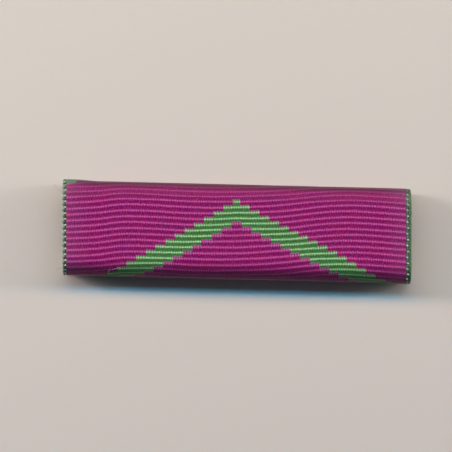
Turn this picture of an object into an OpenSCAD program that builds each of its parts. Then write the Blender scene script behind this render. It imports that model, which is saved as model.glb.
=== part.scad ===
// Ribbon bar: a woven ribbon with a chevron, wrapped over a brass plate with a slide channel.
// X runs along the bar, Y towards its upper edge and Z out of its face. It lies on its back at Z = 0.

/* [Bar] */
// Length of the bar, which is the width of the ribbon
bar_length = 34.93; // [28:0.01:40]
// Height of the bar over the ribs
bar_height = 9.53; // [9:0.01:13]
// Thickness of the bar over the ribs
bar_thickness = 2.95; // [2.9:0.01:4]
// Radius of the two long edges at the front, over the ribs
front_radius = 1.9; // [1.2:0.05:2]
// Radius of the two long edges at the back, over the ribs
back_radius = 1.0; // [0.7:0.05:1.2]

/* [Ribbon] */
// Thickness of the ribbon through the top of a rib
ribbon_thickness = 0.47; // [0.3:0.01:0.55]
// Depth of the grooves between the ribs
rib_relief = 0.13; // [0.06:0.01:0.18]
// Distance from one rib to the next
rib_pitch = 0.589; // [0.5:0.001:0.9]
// Clear opening between the two folds at the back
back_opening = 4.2; // [3:0.1:4.6]
// Length of ribbon tucked into the channel behind each fold
tuck_length = 0.7; // [0.3:0.05:0.8]

/* [Selvedges] */
// Width of each green woven edge
selvedge_width = 0.45; // [0.3:0.01:0.8]
// Depth of the notches between a selvedge's beads
selvedge_relief = 0.2; // [0.1:0.01:0.25]

/* [Chevron] */
// Distance of the tip's rib above the middle of the face, along the ribbon
tip_distance = 3.01; // [1:0.005:4]
// Half of the width of the green on the tip's rib
tip_half_width = 0.335; // [0.1:0.005:1]
// How much further out the green starts on each next rib
step_out = 0.967; // [0.6:0.001:1.4]
// Length of green on each rib of a leg
leg_width = 3.677; // [1.5:0.001:5]
// Ribs from one chevron to the next one on the ribbon
repeat_ribs = 25; // [18:1:30]
// Depth of the green threads below the top of a rib
pattern_depth = 0.25; // [0.2:0.01:0.28]

/* [Plate] */
// Thickness of the brass sheet
plate_thickness = 0.4; // [0.25:0.01:0.5]
// How far the plate stays inside each end of the ribbon
plate_setback = 0.3; // [0.1:0.05:1]
// Gap between the ribbon and the plate
wrap_gap = 0.04; // [0.02:0.01:0.08]

/* [Hidden] */
$fn = 48;

// Gap between the parts that are woven together
weave_gap = 0.02;
// Smallest radius of a bent corner and shortest straight side between two bends
least_bend = 0.05;
// Shortest stretch of green that is drawn on a rib
least_green = 0.2;
// How far a cutter reaches past the surface that it cuts
cut_margin = 0.3;

half_height = bar_height / 2;
shoulder = min(front_radius, bar_thickness - back_radius - least_bend);

// Distances along the ribbon from the middle of the face to where each stretch of the wrap ends
face_end = half_height - shoulder;
shoulder_end = face_end + shoulder * PI / 2;
side_end = shoulder_end + bar_thickness - shoulder - back_radius;
corner_end = side_end + back_radius * PI / 2;

// The lips of the plate: depth of the plate's outside below the ribs, and centre of each lip's round edge
plate_depth = ribbon_thickness + wrap_gap;
fold_radius = plate_depth + plate_thickness / 2;
fold_centre = back_opening / 2 + fold_radius;
back_end = corner_end + half_height - back_radius - fold_centre;

// Half of the width of the magenta part, and ends of each selvedge
selvedge_inside = bar_length / 2 - selvedge_width;
ground_half = selvedge_inside - weave_gap;

// A rib is a round bump that sinks by the relief between two ribs
function bump_radius(relief) = (pow(rib_pitch / 2, 2) + pow(relief, 2)) / (2 * relief);

// Distance along the ribbon of a rib, counted down from the tip of the chevron
function rib_place(rib) = rib * rib_pitch - tip_distance;
first_rib = ceil((tip_distance - corner_end) / rib_pitch);
last_rib = floor((tip_distance + corner_end) / rib_pitch);
first_back_rib = ceil((tip_distance - back_end) / rib_pitch + 0.5);
last_back_rib = floor((tip_distance + back_end) / rib_pitch - 0.5);

// Place and outward angle, from the front's normal, at a distance along the upper half of the wrap
function wrap_angle(d) =
    d <= face_end ? 0 :
    d <= shoulder_end ? (d - face_end) / shoulder * 180 / PI :
    d <= side_end ? 90 :
    d <= corner_end ? 90 + (d - side_end) / back_radius * 180 / PI : 180;
function wrap_place(d) =
    d <= face_end ? [d, bar_thickness] :
    d <= shoulder_end ? [face_end, bar_thickness - shoulder] + shoulder * turn(wrap_angle(d)) :
    d <= side_end ? [half_height, bar_thickness - shoulder - (d - shoulder_end)] :
    d <= corner_end ? [half_height - back_radius, back_radius] + back_radius * turn(wrap_angle(d)) :
    [half_height - back_radius - (d - corner_end), 0];
function turn(angle) = [sin(angle), cos(angle)];

// The same for the whole ribbon, sunk by a depth: negative distances lie above the middle of the face
function facing(d) = d < 0 ? 1 : -1;
function wrapped(d, depth) =
    let (p = wrap_place(abs(d)) - depth * turn(wrap_angle(abs(d))))
    [facing(d) * p[0], p[1]];

// Where the green starts and ends on a rib, counted from the middle, in the chevron that it belongs to
function green_end(rib) = tip_half_width + step_out * rib;
function green_start(rib) = max(0, green_end(rib) - leg_width);
function has_green(rib) = rib >= 0 && green_start(rib) < ground_half - least_green;

// Closed section of the bar, sunk below the ribs by a depth
module outline(depth) {
    side = half_height - depth;
    top = bar_thickness - depth;
    front = max(shoulder - depth, least_bend);
    back = max(back_radius - depth, least_bend);
    translate([front - side, depth + back]) square([2 * (side - front), top - depth - back]);
    translate([-side, depth + back]) square([2 * side, top - front - depth - back]);
    translate([back - side, depth]) square([2 * (side - back), back]);
    for (m = [0, 1]) mirror([m, 0]) {
        translate([side - front, top - front]) quarter_disc(front);
        translate([side - back, depth + back]) mirror([0, 1]) quarter_disc(back);
    }
}

module quarter_disc(radius) {
    intersection() {
        circle(r = radius);
        square(radius);
    }
}

// The bumps of the ribs along the face, the edges and the back corners
module rib_bumps(relief) {
    for (rib = [first_rib : last_rib])
        translate(wrapped(rib_place(rib), bump_radius(relief))) circle(r = bump_radius(relief));
}

// Keeps a section's front and its two turned back edges, clear of the slot between the lips
module slotted(depth) {
    difference() {
        children();
        outline(depth);
        translate([-fold_centre, -cut_margin]) square([2 * fold_centre, depth + 2 * cut_margin]);
    }
}

// Section of the woven band: ribbed in front, pressed flat behind, folded round the lips and tucked in
module woven_section(relief) {
    slotted(ribbon_thickness) union() {
        outline(relief);
        rib_bumps(relief);
    }
    for (m = [0, 1]) mirror([m, 0]) {
        translate([fold_centre, 0]) square([half_height - back_radius - fold_centre, ribbon_thickness]);
        translate([fold_centre, fold_radius]) fold_section();
        translate([fold_centre, 2 * fold_radius - ribbon_thickness]) square([tuck_length, ribbon_thickness]);
    }
}

// Half ring of ribbon round the free edge of a lip
module fold_section() {
    difference() {
        circle(r = fold_radius);
        circle(r = fold_radius - ribbon_thickness);
        translate([0, -fold_radius]) square(2 * fold_radius);
    }
}

// Extrudes a section of the bar from one place along its length to another
module along_bar(from, to) {
    translate([from, 0, 0]) rotate([90, 0, 90]) linear_extrude(to - from) children();
}

// Part of the section that belongs to one rib, from above the surface down to a depth
module rib_cell(rib, depth, spare) {
    before = rib_place(rib) - rib_pitch / 2 - spare;
    after = rib_place(rib) + rib_pitch / 2 + spare;
    outside = [wrapped(before, -cut_margin), wrapped(after, -cut_margin)];
    inside = [wrapped(after, depth), wrapped(before, depth)];
    polygon(concat(outside, inside));
}

// Stretches of green on every rib, on both sides of the middle
module green_stretches(depth, spare) {
    for (rib = [first_back_rib : last_back_rib], shift = [0, repeat_ribs]) if (has_green(rib + shift)) {
        from = green_start(rib + shift);
        to = min(green_end(rib + shift), ground_half);
        for (m = from == 0 ? [0] : [0, 1]) mirror([m, 0, 0])
            along_bar(from == 0 ? -to - spare : from - spare, to + spare) rib_cell(rib, depth, spare);
    }
}

// Magenta part of the ribbon, with the bed that the green threads lie in
module ribbon() {
    color("mediumvioletred") difference() {
        along_bar(-ground_half, ground_half) woven_section(rib_relief);
        green_stretches(pattern_depth + weave_gap, weave_gap);
    }
}

// Green threads of the chevron and of the end of the one above it
module chevron() {
    color("yellowgreen") intersection() {
        along_bar(-ground_half, ground_half) woven_section(rib_relief);
        green_stretches(pattern_depth, 0);
    }
}

// Beaded green edge of the ribbon
module selvedge(from) {
    color("forestgreen") along_bar(from, from + selvedge_width) woven_section(selvedge_relief);
}

module selvedge_left() {
    selvedge(-bar_length / 2);
}

module selvedge_right() {
    selvedge(selvedge_inside);
}

// Brass plate: a flat front, rolled edges and two lips with round free edges
module backing_plate() {
    plate_half = bar_length / 2 - plate_setback;
    color("goldenrod") along_bar(-plate_half, plate_half) {
        slotted(plate_depth + plate_thickness) outline(plate_depth);
        for (m = [-1, 1]) translate([m * fold_centre, fold_radius]) circle(d = plate_thickness);
    }
}

ribbon();
chevron();
selvedge_left();
selvedge_right();
backing_plate();
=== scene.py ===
# %% [markdown]
# # A ribbon bar, dressed in Blender
# The bar is a strip of woven medal ribbon wrapped over a brass plate. Its solids come from the CAD
# frame. This lesson weaves the ribbon rib by rib as real geometry, adds the beaded green edges and a few
# loose fibres, gives the brass its finish, and lights the bar as a long lamp above its upper edge would.

# %% Load the frame
import math
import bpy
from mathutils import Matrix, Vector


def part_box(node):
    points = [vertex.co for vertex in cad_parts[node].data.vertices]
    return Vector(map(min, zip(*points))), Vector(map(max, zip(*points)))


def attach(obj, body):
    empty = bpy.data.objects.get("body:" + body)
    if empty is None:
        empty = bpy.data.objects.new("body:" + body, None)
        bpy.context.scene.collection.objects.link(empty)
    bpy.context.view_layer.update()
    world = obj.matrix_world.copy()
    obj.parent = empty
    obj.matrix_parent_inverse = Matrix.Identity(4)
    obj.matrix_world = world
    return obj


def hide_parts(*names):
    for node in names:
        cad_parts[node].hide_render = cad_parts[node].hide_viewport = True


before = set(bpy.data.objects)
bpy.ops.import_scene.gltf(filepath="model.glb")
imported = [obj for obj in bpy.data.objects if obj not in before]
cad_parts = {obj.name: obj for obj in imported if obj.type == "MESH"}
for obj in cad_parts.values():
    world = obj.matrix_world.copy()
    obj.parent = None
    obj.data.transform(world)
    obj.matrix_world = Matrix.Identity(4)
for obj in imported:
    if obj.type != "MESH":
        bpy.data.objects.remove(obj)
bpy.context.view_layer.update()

from types import SimpleNamespace

import bmesh
import bpy
from mathutils import Matrix, Vector

MM = 0.001

# %% [markdown]
# ## Small helpers
# Colours are picked as sRGB hex values, because that is how a swatch is read, and one function turns
# them into the linear values that the shader wants. One more function adds any node, with its
# settings and its links, so that each material below reads like a recipe.

# %% Colour and node helpers
def linear(code):
    """Turns an sRGB hex value such as "8a1f62" into linear red, green, blue and alpha."""
    shares = [int(code[at:at + 2], 16) / 255 for at in (0, 2, 4)]
    return [s / 12.92 if s <= 0.04045 else ((s + 0.055) / 1.055) ** 2.4 for s in shares] + [1.0]


def add(tree, kind, inputs=None, **settings):
    """Adds a node to a tree. Each input is a socket to link from, or a plain value to set."""
    node = tree.nodes.new(kind)
    for name, value in settings.items():
        setattr(node, name, value)
    for name, value in (inputs or {}).items():
        if isinstance(value, bpy.types.NodeSocket):
            tree.links.new(value, node.inputs[name])
        else:
            node.inputs[name].default_value = value
    return node


def new_material(name):
    """Makes an empty node material, and returns it with its tree."""
    material = bpy.data.materials.new(name)
    material.use_nodes = True
    material.node_tree.nodes.clear()
    return material, material.node_tree


def finish_material(tree, shader):
    """Links a shader to the material's output."""
    add(tree, "ShaderNodeOutputMaterial", {"Surface": shader.outputs["BSDF"]})


# %% [markdown]
# ## The wrap
# The ribbon follows one path round the section: along the face, over a shoulder, round a back corner,
# along the back, round the lip's free edge, and into the channel. All the bends turn the same way, so
# the path is a short table of stretches, each with its length and how far it turns.

# %% The section's sizes
LOW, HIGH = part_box("selvedge_left")
HALF_HEIGHT = max(-LOW.y, HIGH.y)
THICKNESS = HIGH.z
BAR_LEFT = LOW.x
BAR_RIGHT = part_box("selvedge_right")[1].x
SHOULDER = 1.9 * MM         # radius of the long edges at the front
BACK_RADIUS = 1.0 * MM      # radius of the long edges at the back
FOLD_CENTRE = 2.81 * MM     # distance of each fold's centre from the middle of the back
FOLD_RADIUS = 0.71 * MM
TUCK = 0.7 * MM             # length of ribbon in the channel behind each fold

# length of the stretch, and the angle that it turns through in degrees
STRETCHES = [
    (HALF_HEIGHT - SHOULDER, 0),
    (SHOULDER * math.pi / 2, 90),
    (THICKNESS - SHOULDER - BACK_RADIUS, 0),
    (BACK_RADIUS * math.pi / 2, 90),
    (HALF_HEIGHT - BACK_RADIUS - FOLD_CENTRE, 0),
    (FOLD_RADIUS * math.pi, 180),
    (TUCK, 0),
]
PATH_END = sum(length for length, turn in STRETCHES)


def wrap(distance):
    """Place on the ribs' tops and outward direction in the section, as (y, z) pairs.

    The distance runs along the ribbon from the middle of the face, and is positive towards -Y.
    """
    left = abs(distance)
    place, heading = [0.0, THICKNESS], 0.0
    for length, turn in STRETCHES:
        step = min(left, length)
        turned = math.radians(turn) * step / length
        if turn:
            radius = length / math.radians(turn)
            place[0] += radius * (math.sin(heading + turned) - math.sin(heading))
            place[1] += radius * (math.cos(heading + turned) - math.cos(heading))
        else:
            place[0] += step * math.cos(heading)
            place[1] -= step * math.sin(heading)
        heading += turned
        left -= step
        if left <= 0:
            break
    side = -1 if distance > 0 else 1
    return (side * place[0], place[1]), (side * math.sin(heading), math.cos(heading))


print("ribbon length round the bar in mm:", round(2 * PATH_END / MM, 2))

# %% [markdown]
# ## The weave
# Medal ribbon is a rep weave: fine warp threads run along the ribbon, over thick wefts that make the
# ribs. The wefts of this one have drifted, so every rib follows the same lazy wave across the bar.
# The wave is a short table with a smooth curve through it. The chevron is a rule: on each rib the
# green starts and ends one step further out than on the rib above.

# %% The ribs and their drift
RIB_PITCH = 0.589 * MM
TIP_DISTANCE = 3.01 * MM    # distance of the tip's rib above the middle of the face
TIP_HALF_WIDTH = 0.335 * MM
STEP_OUT = 0.967 * MM       # how much further out the green starts on each next rib

# columns: place along the bar, and how far the ribs sit below their own place at the upper and at the
# lower edge of the face, all in millimetres
DRIFT = [
    (-21.0, 0.97, 0.92), (-17.5, 0.71, 0.69), (-14.0, 0.42, 0.44), (-11.5, 0.085, 0.095),
    (-9.0, 0.065, 0.04), (-4.5, 0.20, 0.16), (0.0, 0.12, 0.02), (4.5, -0.21, -0.29),
    (8.5, -0.75, -0.78), (11.7, -0.95, -0.98), (17.5, -0.70, -0.72), (21.0, -0.50, -0.50),
]
FACE_REACH = 3.5            # millimetres from the middle of the face to where each of those columns holds

# the green ribs lie closer together: by how much in all, over which ribs below the upper edge of the
# green this builds up, and which share of it is lost again over which ribs
SQUEEZE = 0.12 * MM
SQUEEZE_BUILDS = (0, 4.2)
SQUEEZE_FADES = (4.5, 9.5)
SQUEEZE_LOST = 0.6


def smooth(value, low, high):
    """Rises smoothly from 0 to 1 between two values."""
    share = min(max((value - low) / (high - low), 0), 1)
    return share * share * (3 - 2 * share)


def curve(along, column):
    """The smooth curve through one column of the drift table, in millimetres."""
    u = along / MM
    at = next(i for i in range(1, len(DRIFT) - 2) if u <= DRIFT[i + 1][0] or i == len(DRIFT) - 3)
    places, values = zip(*[(row[0], row[column]) for row in DRIFT[at - 1:at + 3]])
    share = min(max((u - places[1]) / (places[2] - places[1]), 0), 1)
    width = places[2] - places[1]
    rise_in = (values[2] - values[0]) / (places[2] - places[0]) * width
    rise_out = (values[3] - values[1]) / (places[3] - places[1]) * width
    square, cube = share ** 2, share ** 3
    return ((2 * cube - 3 * square + 1) * values[1] + (cube - 2 * square + share) * rise_in
            + (3 * square - 2 * cube) * values[2] + (cube - square) * rise_out)


def rib_place(rib, along):
    """Distance along the ribbon at which a rib, or a share of one, lies at a place along the bar.

    Ribs are counted down from the tip of the chevron.
    """
    straight = rib * RIB_PITCH - TIP_DISTANCE
    lower = smooth(straight / MM, -FACE_REACH, FACE_REACH)
    drift = (curve(along, 1) * (1 - lower) + curve(along, 2) * lower) * MM
    into_green = rib - (abs(along) - TIP_HALF_WIDTH) / STEP_OUT
    squeeze = SQUEEZE * smooth(into_green, *SQUEEZE_BUILDS)
    return straight + drift - squeeze * (1 - SQUEEZE_LOST * smooth(into_green, *SQUEEZE_FADES))


print("the tip's rib at the left end, the middle and the right end in mm from the middle of the face:",
      [round(rib_place(0, along) / MM, 2) for along in (BAR_LEFT, 0, BAR_RIGHT)])

# %% The chevron's rule
LEG_WIDTH = 3.677 * MM      # length of green on each rib of a leg
REPEAT_RIBS = 25            # ribs from one chevron to the next one


def green_runs(rib):
    """The stretches of green on a rib, as (start, end) distances from the middle of the bar."""
    runs = []
    for repeat in (rib - REPEAT_RIBS, rib, rib + REPEAT_RIBS):
        end = TIP_HALF_WIDTH + STEP_OUT * repeat
        if repeat >= 0:
            runs.append((max(0.0, end - LEG_WIDTH), end))
    return runs


def is_green(along, rib):
    """Whether the chevron's threads lie on top at a place on a rib."""
    return any(start <= abs(along) < end for start, end in green_runs(rib))


# %% [markdown]
# ## The cloth as a flat grid
# Ribs could be drawn as bumps on a smooth sheet, but these show along the bar's edges and shade one
# another, so they are real. The cloth starts as a flat grid with eight rows to a rib. The columns next
# to a colour change are pulled onto it, with slightly ragged ends. The magenta ground and the green
# chevron are the two halves of that one grid, so they meet thread against thread.

# %% Lay out the grid in two colours
GROUND_LEFT = BAR_LEFT + 0.45 * MM      # the magenta and the green lie between the two selvedges
GROUND_RIGHT = BAR_RIGHT - 0.57 * MM
COLUMN = 0.24 * MM
ROWS_PER_RIB = 8
FIRST_RIB, LAST_RIB = -16, 27
RIB_CORE = 0.45                         # share of a rib, each side of its top, that is pulled
RAGGED = 0.05 * MM                      # how far the ends of the green threads are out of line
RAGGED_PER_RIB, RAGGED_PER_MM = 17, 5   # pace of the quick wave that stands in for chance


def flat_grid(bm):
    """Fills a bmesh with the grid. X is the place along the bar, and Y counts the ribs."""
    columns = round((GROUND_RIGHT - GROUND_LEFT) / COLUMN)
    rows = (LAST_RIB - FIRST_RIB) * ROWS_PER_RIB
    bmesh.ops.create_grid(bm, x_segments=columns, y_segments=rows, size=1)
    for vert in bm.verts:
        vert.co = (GROUND_LEFT + (vert.co.x + 1) / 2 * (GROUND_RIGHT - GROUND_LEFT),
                   FIRST_RIB + (1 - vert.co.y) / 2 * (LAST_RIB - FIRST_RIB), 0)


def pull_to_green(bm):
    """Pulls the points beside a colour change onto it."""
    for vert in bm.verts:
        rib = round(vert.co.y)
        if abs(vert.co.y - rib) >= RIB_CORE:
            continue
        for edge in {edge for run in green_runs(rib) for edge in run if edge > 0}:
            if abs(abs(vert.co.x) - edge) < COLUMN / 2:
                ragged = RAGGED * math.sin(vert.co.y * RAGGED_PER_RIB + edge / MM * RAGGED_PER_MM)
                vert.co.x = math.copysign(edge + ragged, vert.co.x)


def mark_weave(bm):
    """Keeps each face's place on the flat ribbon, and where it borders on a rib of the other colour."""
    uv = bm.loops.layers.uv.new("weave")
    emerging = bm.faces.layers.float.new("emerging")
    meeting = bm.faces.layers.float.new("meeting")
    for face in bm.faces:
        along, row, _ = face.calc_center_median()
        here = is_green(along, round(row))
        face[emerging] = float(here != is_green(along, round(row) - 1))
        face[meeting] = float(here != is_green(along, round(row) + 1))
        for loop in face.loops:
            loop[uv].uv = (loop.vert.co.x / MM, loop.vert.co.y)


def keep_colour(bm, green):
    """Deletes the faces of the other colour."""
    centres = [(face, face.calc_center_median()) for face in bm.faces]
    other = [face for face, centre in centres if is_green(centre.x, round(centre.y)) != green]
    bmesh.ops.delete(bm, geom=other, context="FACES")


print("ribs on the grid:", LAST_RIB - FIRST_RIB)

# %% [markdown]
# ## How the cloth lies
# The ribbon is wound tight, so its shape follows from the section and needs no simulation. Two corners
# have come loose and stand off a little, and the upper left one has slid down over the edge. The ribs
# are pressed flatter where the cloth turns over the long edges, which is also where painted shade
# darkens it. Each of these is a smooth step between two places, in millimetres from the middle of the
# face, or between two directions in which the cloth faces.

# %% Loose corners, pressed ribs and painted edge shade
LOOSE_LEFT = (13.5, 16.5)               # along the bar
LOOSE_RIGHT = (15, 17)
LOOSE_EDGE = (3.2, 4.8)                 # along the ribbon, where it comes loose and is tight again
TIGHT_AGAIN = (5.9, 7.2)
STAND_OFF_LEFT = 0.13 * MM
STAND_OFF_RIGHT = 0.08 * MM
CREEP = 0.55 * MM                       # how far the upper left corner has slid down
CREEP_ALONG = (14.8, 17.3)
CREEP_ACROSS = (4.0, 5.2)
RIB_RELIEF = 0.06 * MM                  # height of a rib over the grooves beside it
PRESSED_LOW, LOST_LOW = (3.0, 4.2), 0.85                # along the ribbon, and the share of it that is lost
PRESSED_HIGH, LOST_HIGH = (4.2, 5.2), 0.5
WANDER = 0.012 * MM                     # how uneven the ribs lie
WANDER_WAVES = ((1.0, 0.45, 2.4), (0.6, 1.1, 4.1))      # share, pace per mm along a rib, step per rib

# painted shade on the long edges: its share, and the two outward directions between which it comes on
EDGE_SHADE_UPPER = ((0.38, 0.0, 0.3), (0.62, 0.56, 0.9))      # as the outward Y
EDGE_SHADE_LOWER = (0.48, 0.2, 0.65)                          # as the outward -Y
EDGE_SHADE_ENDS = (0.4, 0.9)                                  # as the outward -Z, towards the back


def rib_wander(rib, along):
    """A small unevenness in the place of each rib."""
    beats = [share * math.sin(along / MM * pace + rib * step) for share, pace, step in WANDER_WAVES]
    return WANDER * sum(beats)


def creep(along, distance):
    """How far the loose upper left corner has slid down over the edge."""
    return CREEP * smooth(-along / MM, *CREEP_ALONG) * smooth(-distance / MM, *CREEP_ACROSS)


def lift(along, distance):
    """How far the cloth stands off at its loose upper left and lower right corners."""
    rise = smooth(abs(distance) / MM, *LOOSE_EDGE) * (1 - smooth(abs(distance) / MM, *TIGHT_AGAIN))
    if distance < 0:
        return rise * STAND_OFF_LEFT * smooth(-along / MM, *LOOSE_LEFT)
    return rise * STAND_OFF_RIGHT * smooth(along / MM, *LOOSE_RIGHT)


def rib_relief(distance):
    """Height of a rib over the grooves beside it."""
    relief = RIB_RELIEF * (1 - LOST_LOW * smooth(distance / MM, *PRESSED_LOW))
    return relief * (1 - LOST_HIGH * smooth(-distance / MM, *PRESSED_HIGH))


def painted_edge_shade(out_y, out_z):
    """How much painted shade darkens the cloth where it faces this way, from 0 to 1."""
    upper = sum(share * smooth(out_y, start, end) for share, start, end in EDGE_SHADE_UPPER)
    share, start, end = EDGE_SHADE_LOWER
    lower = share * smooth(-out_y, start, end)
    return (upper + lower) * (1 - smooth(-out_z, *EDGE_SHADE_ENDS))


# the painted edge shade on the upper and on the lower edge
print("wear on the upper and on the lower edge:", round(painted_edge_shade(1, 0), 2), round(painted_edge_shade(-1, 0), 2))

# %% [markdown]
# ## Weaving and wrapping
# Each row of the grid is raised by the round top of its rib, and the grid is cut straight at the
# ribbon's ends. Then every point is carried round the section by the wrap. It keeps how much painted
# edge shade it gets and how far it faces up the bar, for the material. Solidify gives the cloth its
# thickness at the end.

# %% Weave a piece of the ribbon
CLOTH = 0.42 * MM           # thickness of the cloth
LEAN = 0.024                # how far the ribbon's edges lean against the bar's ends
ON_CUT = 1e-7               # points this near a cut count as on it


def raise_ribs(bm):
    """Lays the grid out to its length along the ribbon, and raises each row by its rib."""
    for vert in bm.verts:
        along, rib = vert.co.x, vert.co.y
        phase = rib - math.floor(rib + 0.5)
        distance = rib_place(rib, along) + rib_wander(round(rib), along)
        distance += creep(along, distance)
        top = 0.5 + 0.5 * math.cos(2 * math.pi * phase)
        vert.co = (along, distance, rib_relief(distance) * (top - 1))


def wrap_round(bm):
    """Carries every point round the section."""
    bend = bm.verts.layers.float.new("bend")
    tilt = bm.verts.layers.float.new("tilt")
    for vert in bm.verts:
        along, distance, height = vert.co
        (y, z), (out_y, out_z) = wrap(distance)
        height += lift(along, distance)
        vert.co = (along - LEAN * y, y + out_y * height, z + out_z * height)
        # how much painted shade darkens the cloth here, for the material
        vert[bend] = painted_edge_shade(out_y, out_z)
        vert[tilt] = out_y


def weave(green):
    """Makes one colour's part of the cloth, wrapped round the bar."""
    bm = bmesh.new()
    flat_grid(bm)
    pull_to_green(bm)
    mark_weave(bm)
    keep_colour(bm, green)
    raise_ribs(bm)
    for end in (-PATH_END, PATH_END):
        bmesh.ops.bisect_plane(bm, geom=bm.verts[:] + bm.edges[:] + bm.faces[:], dist=ON_CUT,
                               plane_co=(0, end, 0), plane_no=(0, end, 0), clear_outer=True)
    wrap_round(bm)
    for edge in bm.edges:
        edge.smooth = not edge.is_boundary
    for face in bm.faces:
        face.smooth = True
    return bm


def make_object(name, bm, material):
    """Turns a bmesh into an object of one material."""
    mesh = bpy.data.meshes.new(name)
    bm.to_mesh(mesh)
    bm.free()
    mesh.materials.append(material)
    piece = bpy.data.objects.new(name, mesh)
    bpy.context.scene.collection.objects.link(piece)
    print(name, "has", len(mesh.polygons), "faces")
    return piece


def thicken(piece, thickness):
    """Gives a sheet of cloth its thickness, inwards from its outer face."""
    wall = piece.modifiers.new("cloth thickness", "SOLIDIFY")
    wall.thickness = thickness
    wall.offset = -1


# %% [markdown]
# ## The ribbon's finish
# Rep woven from rayon or silk has a satin gleam on the side of each rib that turns towards the light,
# and is deep and slightly speckled below it. Here that gleam is a painted highlight, and the grooves get
# painted shade. The weave is drawn in the ribbon's own coordinates, millimetres across and ribs along,
# so that it follows the cloth round the bar. The real warp threads are 0.1 mm wide, one pixel here, so
# they are drawn 0.24 mm wide, which still shows as fine dots.

# %% The pattern of the threads
THREAD_PITCH_MM = 0.24
SWAY_PER_MM = 1.1                       # the threads sway over about 0.9 mm
SWAY_TURN = 11.0                        # by this much of their wave, in radians
GRAIN_SCALE = (5.5, 2.6, 1.0)           # a grain 0.18 mm wide and 0.23 mm long
PATCHES_PER_MM = 0.4                    # patches of hue, 2.5 mm across


def thread_pattern(tree):
    """The sockets that both colours of the weave are drawn from."""
    place = add(tree, "ShaderNodeUVMap", uv_map="weave").outputs["UV"]
    axes = add(tree, "ShaderNodeSeparateXYZ", {"Vector": place}).outputs
    rib = add(tree, "ShaderNodeMath", {0: axes["Y"], 1: 0.5}, operation="ADD").outputs[0]
    phase = add(tree, "ShaderNodeMath", {0: rib}, operation="FRACT").outputs[0]
    side = add(tree, "ShaderNodeMath", {0: axes["X"]}, operation="ABSOLUTE").outputs[0]

    # threads: a wave across the ribbon that sways a little, and is half a turn on at each next rib
    sway = add(tree, "ShaderNodeTexNoise", {"Vector": place, "Scale": SWAY_PER_MM,
                                            "Detail": 2.0}).outputs["Fac"]
    turn = add(tree, "ShaderNodeMath", {0: axes["X"], 1: 2 * math.pi / THREAD_PITCH_MM},
               operation="MULTIPLY").outputs[0]
    turn = add(tree, "ShaderNodeMath", {0: sway, 1: SWAY_TURN, 2: turn},
               operation="MULTIPLY_ADD").outputs[0]
    number = add(tree, "ShaderNodeMath", {0: rib}, operation="FLOOR").outputs[0]
    turn = add(tree, "ShaderNodeMath", {0: number, 1: math.pi, 2: turn},
               operation="MULTIPLY_ADD").outputs[0]
    wave = add(tree, "ShaderNodeMath", {0: turn}, operation="SINE").outputs[0]
    dots = add(tree, "ShaderNodeMapRange", {"Value": wave, "From Min": -0.6,
                                            "From Max": 0.6}).outputs["Result"]
    gap = add(tree, "ShaderNodeMath", {0: 1.0, 1: dots}, operation="SUBTRACT").outputs[0]

    # a fine grain in the threads, and slow patches where the dye took differently
    grain = add(tree, "ShaderNodeMapping", {"Vector": place, "Scale": GRAIN_SCALE}).outputs[0]
    grain = add(tree, "ShaderNodeTexNoise", {"Vector": grain, "Scale": 1.0, "Detail": 2.0,
                                             "Roughness": 0.6}).outputs["Fac"]
    grain = add(tree, "ShaderNodeMapRange", {"Value": grain, "From Min": 0.3,
                                             "From Max": 0.7}).outputs["Result"]
    patches = add(tree, "ShaderNodeTexNoise", {"Vector": place, "Scale": PATCHES_PER_MM, "Detail": 4.0,
                                               "Roughness": 0.6}).outputs["Fac"]
    patches = add(tree, "ShaderNodeMapRange", {"Value": patches, "From Min": 0.35,
                                               "From Max": 0.65}).outputs["Result"]

    # what the mesh tells: how much painted edge shade it has, how far it faces up the bar, and where the
    # colours change
    told = {name: add(tree, "ShaderNodeAttribute", attribute_name=name).outputs["Fac"]
            for name in ("bend", "tilt", "emerging", "meeting")}
    return SimpleNamespace(place=place, phase=phase, side=side, dots=dots, gap=gap, grain=grain,
                           patches=patches, **told)


# %% [markdown]
# ## Groove and gleam
# Satin thread shows the deep colour of its dye in the grooves, darkened there by painted shade, and a
# pale gleam where it turns over a rib towards the light. Gloss alone would give one smooth streak along
# each rib, so the gleam is also drawn as a painted highlight: a line of dots, thread by thread, a little
# above the middle of the rib.

# %% The colour between the ribs
DOT_SPECKS = 0.5        # weight of a thread beside the grain's 1, because specks lie where both are low


def groove_colour(tree, threads, body, shade, speck_and_groove_shade):
    """The deep colour, drifting in hue, with darker specks and painted shade as a dark comb at the grooves.
    """
    deep = add(tree, "ShaderNodeMix", {"Factor": threads.patches, "A": linear(body), "B": linear(shade)},
               data_type="RGBA").outputs["Result"]
    specks_and_shade = add(tree, "ShaderNodeMath", {0: threads.dots, 1: DOT_SPECKS, 2: threads.grain},
                 operation="MULTIPLY_ADD").outputs[0]
    specks_and_shade = add(tree, "ShaderNodeMapRange", {"Value": specks_and_shade, "From Min": 1.0, "From Max": 0.2,
                                              "To Max": 0.75}).outputs["Result"]
    # painted shade: a dark comb between the threads at each groove, in the speck colour
    groove_shade = add(tree, "ShaderNodeMath", {0: threads.phase, 1: 0.5}, operation="PINGPONG").outputs[0]
    groove_shade = add(tree, "ShaderNodeMapRange", {"Value": groove_shade, "From Min": 0.14, "From Max": 0.0,
                                            "To Max": 0.38}).outputs["Result"]
    groove_shade = add(tree, "ShaderNodeMath", {0: groove_shade, 1: threads.gap}, operation="MULTIPLY").outputs[0]
    specks_and_shade = add(tree, "ShaderNodeMath", {0: specks_and_shade, 1: groove_shade}, operation="MAXIMUM").outputs[0]
    return add(tree, "ShaderNodeMix", {"Factor": specks_and_shade, "A": deep, "B": linear(speck_and_groove_shade)},
               data_type="RGBA").outputs["Result"]


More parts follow.
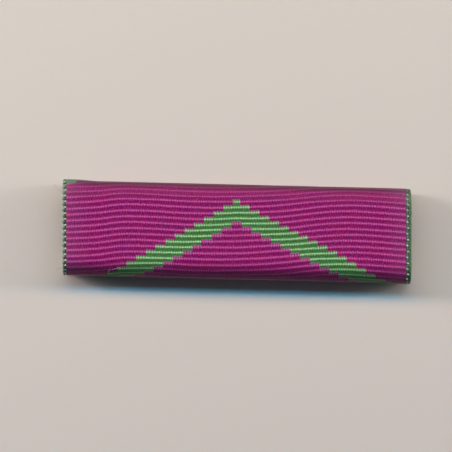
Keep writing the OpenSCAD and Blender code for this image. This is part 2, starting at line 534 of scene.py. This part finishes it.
# %% The gleam over each rib
LINE_PHASE = 0.28       # where the painted highlight lies, from a rib's upper groove at 0 to its lower one at 1
LINE_TURN = 0.34        # how much lower it lies where the cloth faces up the bar
LINE_REACH = 0.17       # how far the gleam reaches from there, as a share of a rib
DOT_REACH = 0.05        # how much further it reaches on a thread than between two
GRAIN_REACH = 0.07      # and how much further where the grain is light
DOT_GLINT = 2.0         # weight of a thread in its strength, where the grain's weight is 1
PATCH_GLINT = 0.4       # weight of a patch
SHADED_LINE_LOSS = 0.85        # share of it that is gone where the painted edge shade is strongest


def painted_highlight_line(tree, threads, fringe):
    """A painted highlight: a dotted pale line over each rib, wider where the threads first come to the top.
    """
    centre = add(tree, "ShaderNodeMapRange", {"Value": threads.tilt, "To Min": LINE_PHASE,
                                              "To Max": LINE_PHASE + LINE_TURN}).outputs["Result"]
    off = add(tree, "ShaderNodeMath", {0: threads.phase, 1: centre}, operation="SUBTRACT").outputs[0]
    off = add(tree, "ShaderNodeMath", {0: off}, operation="ABSOLUTE").outputs[0]
    tick = add(tree, "ShaderNodeMath", {0: threads.emerging, 1: fringe, 2: DOT_REACH},
               operation="MULTIPLY_ADD").outputs[0]
    reach = add(tree, "ShaderNodeMath", {0: threads.dots, 1: tick, 2: LINE_REACH},
                operation="MULTIPLY_ADD").outputs[0]
    reach = add(tree, "ShaderNodeMath", {0: threads.grain, 1: GRAIN_REACH, 2: reach},
                operation="MULTIPLY_ADD").outputs[0]
    line = add(tree, "ShaderNodeMapRange", {"Value": off, "From Min": reach, "From Max": 0.02},
               interpolation_type="SMOOTHSTEP").outputs["Result"]

    # its strength follows the threads, the grain and the patches, and the painted edge shade takes most of
    # it away
    glint = add(tree, "ShaderNodeMath", {0: threads.dots, 1: DOT_GLINT, 2: threads.grain},
                operation="MULTIPLY_ADD").outputs[0]
    glint = add(tree, "ShaderNodeMath", {0: threads.patches, 1: PATCH_GLINT, 2: glint},
                operation="MULTIPLY_ADD").outputs[0]
    glint = add(tree, "ShaderNodeMapRange", {"Value": glint, "From Min": 0.3, "From Max": 2.8,
                                             "To Min": 0.3}).outputs["Result"]
    kept = add(tree, "ShaderNodeMath", {0: threads.bend, 1: -SHADED_LINE_LOSS, 2: 1.0},
               operation="MULTIPLY_ADD").outputs[0]
    line = add(tree, "ShaderNodeMath", {0: line, 1: glint}, operation="MULTIPLY").outputs[0]
    return add(tree, "ShaderNodeMath", {0: line, 1: kept}, operation="MULTIPLY").outputs[0]


# %% [markdown]
# ## What lies over the weave
# Lint, painted shade on the long edges, a greyer tint towards the ends, the first threads of the other
# colour, fluff with a painted sheen on the lower rim, and fraying each lay a colour over the cloth. Each
# is worked out as a share from 0 to 1 at every point, so the material can lay the colours over one
# another in turn, like glazes.

# %% Lint, painted edge shade, end tint, and fluff with a painted sheen
FLECK_SCALE = (8.0, 5.0, 1.0)           # flecks of lint about 0.12 mm in size
PAINTED_SHADE_SHARE = 0.9                        # how much of the painted shade colour the cloth gets where that shade is strongest
END_TINT, FRAYED = "9a8aa4", "7c626a"      # a greyer purple towards the ribbon's ends, and the last threads before a selvedge


def surface_shares(tree, threads, tufts):
    """Shares over the weave: lint, painted edge shade, end tint, the other colour, fluff and painted sheen,
    fraying.
    """
    lint = add(tree, "ShaderNodeMapping", {"Vector": threads.place, "Scale": FLECK_SCALE}).outputs[0]
    lint = add(tree, "ShaderNodeTexNoise", {"Vector": lint, "Scale": 1.0, "Detail": 1.0}).outputs["Fac"]
    lint = add(tree, "ShaderNodeMapRange", {"Value": lint, "From Min": 0.61, "From Max": 0.71,
                                            "To Max": 0.4}).outputs["Result"]
    # painted shade on the long edges
    painted_shade = add(tree, "ShaderNodeMath", {0: threads.bend, 1: PAINTED_SHADE_SHARE}, operation="MULTIPLY").outputs[0]
    # a greyer purple towards the bar's ends
    end_tint = add(tree, "ShaderNodeMapRange", {"Value": threads.side, "From Min": 14.5, "From Max": 17.0,
                                             "To Max": 0.1}).outputs["Result"]

    # the first threads of the other colour show at the foot of a rib above it
    other = add(tree, "ShaderNodeMapRange", {"Value": threads.phase, "From Min": 0.72,
                                             "From Max": 0.95}).outputs["Result"]
    for share in (threads.gap, threads.meeting, tufts):
        other = add(tree, "ShaderNodeMath", {0: other, 1: share}, operation="MULTIPLY").outputs[0]

    # fluff with a painted sheen: a paler colour on the lower rim, where the cloth faces down the bar
    fluff_and_sheen = add(tree, "ShaderNodeMapRange", {"Value": threads.tilt, "From Min": -0.94, "From Max": -1.0,
                                             "To Max": 0.8}).outputs["Result"]
    frayed = add(tree, "ShaderNodeMapRange", {"Value": threads.side, "From Min": 16.78, "From Max": 17.0,
                                              "To Max": 0.55}).outputs["Result"]
    return SimpleNamespace(lint=lint, painted_shade=painted_shade, end_tint=end_tint, other=other, fluff_and_sheen=fluff_and_sheen, frayed=frayed)


# %% Material of the woven ribbon
def woven_material(name, colours, fringe, tufts):
    """Rep weave: threads over round ribs, with a painted highlight on each rib, paler where threads first
    come up.
    """
    material, tree = new_material(name)
    threads = thread_pattern(tree)
    line = painted_highlight_line(tree, threads, fringe)
    shares = surface_shares(tree, threads, tufts)
    bright = add(tree, "ShaderNodeMix", {"Factor": threads.emerging, "A": linear(colours["painted_highlight"]),
                                         "B": linear(colours["emerging"])},
                 data_type="RGBA").outputs["Result"]

    # each colour is laid over the ones before it
    layers = [
        (shares.lint, linear(colours["lint"])),
        # painted shade on the long edges
        (shares.painted_shade, linear(colours["painted_shade"])),
        # a greyer purple towards the bar's ends
        (shares.end_tint, linear(END_TINT)),
        # the painted highlight over each rib
        (line, bright),
        (shares.other, linear(colours["other"])),
        # fluff with a painted sheen on the lower rim
        (shares.fluff_and_sheen, linear(colours["fluff_and_sheen"])),
        (shares.frayed, linear(FRAYED)),
    ]
    colour = groove_colour(tree, threads, colours["body"], colours["shade"], colours["speck_and_groove_shade"])
    for share, over in layers:
        colour = add(tree, "ShaderNodeMix", {"Factor": share, "A": colour, "B": over},
                     data_type="RGBA").outputs["Result"]

    rough = add(tree, "ShaderNodeMapRange", {"Value": line, "To Min": 0.62,
                                             "To Max": 0.42}).outputs["Result"]
    relief = add(tree, "ShaderNodeBump", {"Height": threads.dots, "Strength": 0.5, "Distance": 0.015 * MM})
    shader = add(tree, "ShaderNodeBsdfPrincipled", {
        "Base Color": colour, "Roughness": rough, "Normal": relief.outputs["Normal"],
        "Specular IOR Level": 0.35, "Specular Tint": linear(colours["gleam"]), "Sheen Weight": 0.04,
        "Sheen Roughness": 0.4})
    finish_material(tree, shader)
    return material


# rayon, dyed and woven as rep: a satin line on every rib, drawn as a painted highlight, and a deep colour
# in between
# each palette sets the painted highlight on the ribs, the colours that paint shade in the grooves and on
# the long edges, and the painted sheen of the fluff on the lower rim
magenta_rep = woven_material("magenta_rayon_rep", {
    "painted_highlight": "c4509a", "body": "ac126c", "shade": "9c1270", "speck_and_groove_shade": "5a0634", "emerging": "bc609c",
    "painted_shade": "4e1e36", "gleam": "ffa8dc", "other": "9cb08c", "lint": "c078a4", "fluff_and_sheen": "b48ca8",
}, fringe=0.22, tufts=0.5)
green_rep = woven_material("green_rayon_rep", {
    "painted_highlight": "a8d898", "body": "4c8a48", "shade": "428440", "speck_and_groove_shade": "46442c", "emerging": "aeca9c",
    "painted_shade": "326246", "gleam": "e8ffd8", "other": "bc64a0", "lint": "b4c8a8", "fluff_and_sheen": "5c8870",
}, fringe=0.06, tufts=1.0)

# %% Weave the two colours
ribbon = make_object("ribbon_cloth", weave(green=False), magenta_rep)
chevron = make_object("chevron_cloth", weave(green=True), green_rep)
for piece, node, slot in ((ribbon, "ribbon", "ribbon_magenta"), (chevron, "chevron", "ribbon_green")):
    thicken(piece, CLOTH)
    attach(piece, "root")
    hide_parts(node)

# %% [markdown]
# ## The selvedges
# At each edge of the ribbon the wefts turn round a green cord. Seen from the front this is a row of
# slanted green beads, one for each rib, with a pale dot of weft between each bead and the ground, whose
# pale colour is partly a painted highlight. They make the bar's two ends bumpy, so a pattern on a flat
# band wouldn't do. The cord is a tube along the wrap, and each turn of thread is a small sphere,
# stretched, slanted and partly sunk in the cord.

# %% Turns of thread and cords along a selvedge
LEFT, RIGHT = -1, 1
BAR_END = {LEFT: BAR_LEFT, RIGHT: BAR_RIGHT}
TURN_SEGMENTS, TURN_RINGS = 8, 6
CORD_STEPS, CORD_SIDES = 240, 10


def on_ribbon(along, distance, rise):
    """A point over the wrapped ribbon, the outward direction there, and how much painted edge shade it
    gets.
    """
    (y, z), (out_y, out_z) = wrap(distance)
    out = Vector((0, out_y, out_z))
    return Vector((along - LEAN * y, y, z)) + out * (lift(along, distance) + rise), out, painted_edge_shade(out_y, out_z)


def put_in_order(bm):
    """Sorts the faces by their points. Blender lists those of a new sphere in another order on each run."""
    bm.verts.index_update()
    count = len(bm.verts)
    bm.faces.sort(key=lambda face: sum(vert.index * count ** at for at, vert in enumerate(face.verts)))


def turns(side, inset, size, slant, shift, stagger=0.0, depth=0.0, ribs=range(FIRST_RIB, LAST_RIB)):
    """A row of rounded turns of thread, one on each rib, set in from one end of the bar.

    Lengths are in millimetres. The slant is in degrees, and the shift along the ribbon in ribs. Each
    turn starts as a sphere one unit wide, which its size stretches.
    """
    bm = bmesh.new()
    bend = bm.verts.layers.float.new("bend")
    width, length, height = (measure * MM for measure in size)
    angle = math.radians(slant)
    for rib in ribs:
        along = BAR_END[side] - side * (inset + stagger * (rib % 2)) * MM
        distance = rib_place(rib + shift, along)
        if abs(distance) > PATH_END:
            continue
        centre, out, painted_shade = on_ribbon(along, distance, -height / 2 - depth * MM)
        down = Vector((1, 0, 0)).cross(out)
        sphere = bmesh.ops.create_uvsphere(bm, u_segments=TURN_SEGMENTS, v_segments=TURN_RINGS, radius=0.5)
        for vert in sphere["verts"]:
            # painted shade on the long edges, for the material
            vert[bend] = painted_shade
            u, v = vert.co.x * width, vert.co.y * length
            turned = Vector((u * math.cos(angle) - v * math.sin(angle), 0, 0))
            vert.co = (centre + turned + down * (u * math.sin(angle) + v * math.cos(angle))
                       + out * vert.co.z * height)
    put_in_order(bm)
    for face in bm.faces:
        face.smooth = True
    return bm


def edge_cord(side, inset, width, thickness, depth):
    """A cord that runs the whole length of the wrap, set in from one end of the bar, in millimetres."""
    bm = bmesh.new()
    bend = bm.verts.layers.float.new("bend")
    along = BAR_END[side] - side * inset * MM
    rings = []
    for step in range(CORD_STEPS + 1):
        distance = PATH_END * (2 * step / CORD_STEPS - 1)
        centre, out, painted_shade = on_ribbon(along, distance, -depth * MM)
        ring = bmesh.ops.create_circle(bm, segments=CORD_SIDES, radius=0.5)["verts"]
        for vert in ring:
            # painted shade on the long edges, for the material
            vert[bend] = painted_shade
            vert.co = centre + Vector((vert.co.x * width * MM, 0, 0)) + out * vert.co.y * thickness * MM
        rings.append(ring)
    for first, second in zip(rings, rings[1:]):
        for i in range(CORD_SIDES):
            j = (i + 1) % CORD_SIDES
            bm.faces.new((first[i], first[j], second[j], second[i])).smooth = True
    bm.faces.new(rings[0])
    bm.faces.new(rings[-1][::-1])
    bmesh.ops.recalc_face_normals(bm, faces=bm.faces)
    return bm


# %% Material of the selvedges
MOTTLE_PER_MM = 4.5         # the twist shows as mottling 0.2 mm in size


def thread_material(name, bright, deep, painted_shade="46483a"):
    """Twisted thread: a soft gleam, mottled between two colours by the twist, and darkened by painted shade
    on the long edges.
    """
    material, tree = new_material(name)
    place = add(tree, "ShaderNodeTexCoord").outputs["Object"]
    mottle = add(tree, "ShaderNodeTexNoise", {"Vector": place, "Scale": MOTTLE_PER_MM / MM,
                                              "Detail": 2.0}).outputs["Fac"]
    share = add(tree, "ShaderNodeMapRange", {"Value": mottle, "From Min": 0.35,
                                             "From Max": 0.65}).outputs["Result"]
    # painted shade on the long edges, where the cloth turns over them
    bend = add(tree, "ShaderNodeAttribute", attribute_name="bend").outputs["Fac"]
    edge_shaded = add(tree, "ShaderNodeMapRange", {"Value": bend, "From Min": 0.4, "From Max": 1.0,
                                            "To Max": 0.8}).outputs["Result"]
    colour = linear(deep)
    for factor, over in ((share, bright), (edge_shaded, painted_shade)):
        colour = add(tree, "ShaderNodeMix", {"Factor": factor, "A": colour, "B": linear(over)},
                     data_type="RGBA").outputs["Result"]
    relief = add(tree, "ShaderNodeBump", {"Height": mottle, "Strength": 0.4, "Distance": 0.03 * MM})
    shader = add(tree, "ShaderNodeBsdfPrincipled", {
        "Base Color": colour, "Roughness": 0.55, "Normal": relief.outputs["Normal"]})
    finish_material(tree, shader)
    return material


cord_green = thread_material("green_selvedge_cord", "4e724e", "2c4a34")
cord_dark = thread_material("dark_selvedge_cord", "76846c", "566252")
cord_pale = thread_material("faded_selvedge_cord", "9ca48e", "80887a")
# pale turns of weft: their pale colour is partly a painted highlight on the turns
weft_glint = thread_material("weft_turns_with_painted_glint", "ccd4bc", "b0baa0")
# on this bead the painted edge shade turns it light green, so it stays pale on the upper edge
weft_bright = thread_material("bright_green_weft", "8cc88c", "4f9a5c", painted_shade="7cc080")

# %% Place the selvedges
SELVEDGES = {
    "left": [
        ("cord", cord_pale, edge_cord(LEFT, inset=0.24, width=0.3, thickness=0.3, depth=0.24)),
        ("turns", cord_dark, turns(LEFT, inset=0.22, size=(0.28, 0.4, 0.34), slant=-30, shift=0.0)),
        ("weft", weft_glint, turns(LEFT, inset=0.39, size=(0.24, 0.22, 0.26), slant=-20, shift=0.48,
                                   stagger=0.02)),
        ("corner", weft_bright, turns(LEFT, inset=0.27, size=(0.26, 0.34, 0.26), slant=0, shift=0.6,
                                      depth=-0.03, ribs=[-5])),
    ],
    "right": [
        ("cord", cord_green, edge_cord(RIGHT, inset=0.19, width=0.34, thickness=0.34, depth=0.23)),
        ("ground", cord_dark, edge_cord(RIGHT, inset=0.47, width=0.26, thickness=0.3, depth=0.22)),
        ("turns", cord_green, turns(RIGHT, inset=0.18, size=(0.33, 0.46, 0.34), slant=25, shift=0.5,
                                    depth=0.03)),
        ("weft", weft_glint, turns(RIGHT, inset=0.47, size=(0.34, 0.2, 0.3), slant=12, shift=0.02,
                                   stagger=-0.07)),
    ],
}
for name, parts in SELVEDGES.items():
    for kind, material, bm in parts:
        piece = make_object(f"selvedge_{name}_{kind}", bm, material)
        if kind == "cord":
            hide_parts(f"selvedge_{name}")
        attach(piece, "root")

# %% [markdown]
# ## Loose fibres
# Handling pulls a few fibres out of a ribbon's edges. Each is a thin curve that starts in the cloth,
# with a round bevel, and becomes a mesh. Real ones are about 0.02 mm thick, which is too fine to show,
# so they are drawn twice as thick.

# %% Loose fibres
FIBRE_WIDTH = 0.04 * MM
# the points that each fibre is led by, in millimetres
FIBRES = [
    [(-12.85, -4.36, 2.15), (-12.62, -4.15, 2.52), (-12.47, -4.03, 2.62)],
    [(-12.46, -4.16, 2.40), (-12.03, -3.98, 2.64), (-11.66, -3.83, 2.74), (-11.50, -3.95, 2.70),
     (-11.62, -4.06, 2.56)],
    [(-17.15, -3.90, 2.55), (-17.45, -4.15, 2.50), (-17.70, -4.05, 2.40), (-17.95, -4.20, 2.20)],
    [(-17.20, 3.40, 2.75), (-17.65, 3.70, 2.60), (-18.00, 4.00, 2.20), (-18.30, 4.30, 1.70)],
    [(9.10, -3.60, 2.70), (9.25, -3.40, 2.88), (9.20, -3.15, 2.96)],
]
fibre_curve = bpy.data.curves.new("loose_fibres", "CURVE")
fibre_curve.dimensions = "3D"
fibre_curve.bevel_depth = FIBRE_WIDTH / 2
fibre_curve.bevel_resolution = 1
for places in FIBRES:
    spline = fibre_curve.splines.new("NURBS")
    spline.points.add(len(places) - 1)
    for point, place in zip(spline.points, places):
        point.co = (*(Vector(place) * MM), 1)
    spline.use_endpoint_u = True
    spline.order_u = 3
fibre_mesh = bpy.data.meshes.new_from_object(bpy.data.objects.new("fibre_curve", fibre_curve))
bm = bmesh.new()
bm.from_mesh(fibre_mesh)
fibres = make_object("loose_fibres", bm, thread_material("pulled_rayon_fibre", "b494a8", "8c7884"))
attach(fibres, "root")

# %% [markdown]
# ## The brass plate
# The plate is already right in the CAD frame, so it only gets a finish: rolled brass sheet that has
# dulled. The fine lines of the rolling along its length stretch its highlights, and a darker film
# breaks them up.

# %% Material of the plate
ROLLING_PER_MM = (0.06, 6.0, 6.0)       # lines 17 mm long and 0.17 mm wide
FILM_PER_MM = 0.26                      # patches of film 4 mm across


def brass_material():
    """Rolled brass sheet, dulled by handling."""
    material, tree = new_material("rolled_brass")
    place = add(tree, "ShaderNodeTexCoord").outputs["Object"]
    lines = add(tree, "ShaderNodeMapping", {"Vector": place,
                                            "Scale": [scale / MM for scale in ROLLING_PER_MM]}).outputs[0]
    lines = add(tree, "ShaderNodeTexNoise", {"Vector": lines, "Scale": 1.0, "Detail": 3.0}).outputs["Fac"]
    film = add(tree, "ShaderNodeTexNoise", {"Vector": place, "Scale": FILM_PER_MM / MM,
                                            "Detail": 5.0}).outputs["Fac"]
    film = add(tree, "ShaderNodeMapRange", {"Value": film, "From Min": 0.35,
                                            "From Max": 0.7}).outputs["Result"]
    colour = add(tree, "ShaderNodeMix", {"Factor": film, "A": linear("c8a45a"), "B": linear("8d6f3c")},
                 data_type="RGBA").outputs["Result"]
    rough = add(tree, "ShaderNodeMapRange", {"Value": film, "To Min": 0.28,
                                             "To Max": 0.5}).outputs["Result"]
    relief = add(tree, "ShaderNodeBump", {"Height": lines, "Strength": 0.3, "Distance": 0.01 * MM})
    shader = add(tree, "ShaderNodeBsdfPrincipled", {
        "Base Color": colour, "Metallic": 1.0, "Roughness": rough, "Normal": relief.outputs["Normal"]})
    finish_material(tree, shader)
    return material


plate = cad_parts["backing_plate"]
brass = brass_material()
for slot in plate.material_slots:
    slot.material = brass
print("the plate is", brass.name)

# %% [markdown]
# The ribbon is one sheet, pulled tight over the plate. The green of the chevron is woven into it, and
# is a piece of its own here.

# %% [markdown]
# ## Floor, camera and light
# The bar lies face up on a plain pale surface. The camera looks straight down through a long lens,
# turned a little, as the bar lies a little askew in its picture. The light comes from a strip lamp
# above the bar's upper edge that is far longer than the bar. It has a warm and a cool half at slightly
# different heights, which gives the lower rim of the shadow its blue tint. Two weak lamps, low at the
# bar's left and right, light the floor under its ends.

# %% Floor
FLOOR_SIZE = 2.0
PAPER_GRAIN_PER_MM = 2.5    # fibres of paper 0.4 mm in size


def card_material():
    """Pale card: matt, so that it shows no highlight, with a faint grain of paper."""
    material, tree = new_material("pale_card")
    place = add(tree, "ShaderNodeTexCoord").outputs["Object"]
    grain = add(tree, "ShaderNodeTexNoise", {"Vector": place, "Scale": PAPER_GRAIN_PER_MM / MM,
                                             "Detail": 2.0}).outputs["Fac"]
    relief = add(tree, "ShaderNodeBump", {"Height": grain, "Strength": 0.1, "Distance": 0.02 * MM})
    shader = add(tree, "ShaderNodeBsdfPrincipled", {
        "Base Color": linear("dfcfc6"), "Roughness": 0.9, "Normal": relief.outputs["Normal"],
        "Specular IOR Level": 0.2})
    finish_material(tree, shader)
    return material


bm = bmesh.new()
bmesh.ops.create_grid(bm, x_segments=1, y_segments=1, size=FLOOR_SIZE / 2)
floor = make_object("floor", bm, card_material())

# %% Camera
PIXELS = 452                    # width and height of the picture
PIXELS_PER_MM = 9.983
BAR_PIXEL = (236.55, 231.9)     # where the bar's middle lies in it
TURN = math.radians(1.37)
LENS, SENSOR = 200.0, 36.0      # in millimetres

camera = bpy.data.objects.new("camera", bpy.data.cameras.new("camera"))
bpy.context.scene.collection.objects.link(camera)
bpy.context.scene.camera = camera
camera.data.lens = LENS
camera.data.sensor_width = SENSOR
right = Vector((math.cos(TURN), math.sin(TURN), 0))
up = Vector((-math.sin(TURN), math.cos(TURN), 0))
across, down = ((pixel - PIXELS / 2) / PIXELS_PER_MM * MM for pixel in BAR_PIXEL)
height = PIXELS / PIXELS_PER_MM * MM * LENS / SENSOR + THICKNESS / 2
camera.location = up * down - right * across + Vector((0, 0, height))
camera.rotation_euler = (0, 0, TURN)
camera.data.clip_start, camera.data.clip_end = 0.01, 10
print("camera height in mm:", round(height / MM, 1))

# %% Light
LAMP_DISTANCE = 0.3
WHITE = (1.0, 1.0, 1.0)
FILL, FILL_STRENGTH = "c6ecff", 0.06

# tip and swing in degrees, length and width in metres, watts, and linear red, green and blue
LAMPS = {
    "warm_strip": (46.6, 4, (3.0, 0.062), 3.48, (1.06, 0.54, 0.02)),
    "cool_strip": (53.8, 4, (3.0, 0.062), 3.48, (0.02, 0.58, 1.06)),
    "left_fill": (47.5, -69, (0.14, 0.04), 0.74, WHITE),
    "right_fill": (47.5, 73, (0.13, 0.04), 0.48, WHITE),
}


def strip(name, tip, swing, size, watts, colour):
    """A strip lamp in a plane through the bar's length, swung round in it from the middle of the bar.

    The plane is tipped up from the floor, so that every strip in it casts a shadow equally deep.
    """
    lamp = bpy.data.lights.new(name, "AREA")
    lamp.shape = "RECTANGLE"
    lamp.size, lamp.size_y = size
    lamp.energy = watts
    lamp.color = colour
    tip, swing = math.radians(tip), math.radians(swing)
    upwards = Vector((0, math.cos(tip), math.sin(tip)))
    away = Vector((math.sin(swing), 0, 0)) + upwards * math.cos(swing)
    along = Vector((math.cos(swing), 0, 0)) - upwards * math.sin(swing)
    turn = Matrix((along, away.cross(along), away)).transposed().to_4x4()
    holder = bpy.data.objects.new(name, lamp)
    holder.matrix_world = Matrix.Translation(away * LAMP_DISTANCE) @ turn
    bpy.context.scene.collection.objects.link(holder)
    print(name, "has", watts, "watts")


for name, lamp in LAMPS.items():
    strip(name, *lamp)

world = bpy.data.worlds.new("studio_fill")
bpy.context.scene.world = world
world.use_nodes = True
world.node_tree.nodes["Background"].inputs["Color"].default_value = linear(FILL)
world.node_tree.nodes["Background"].inputs["Strength"].default_value = FILL_STRENGTH
bpy.context.scene.view_settings.view_transform = "Standard"
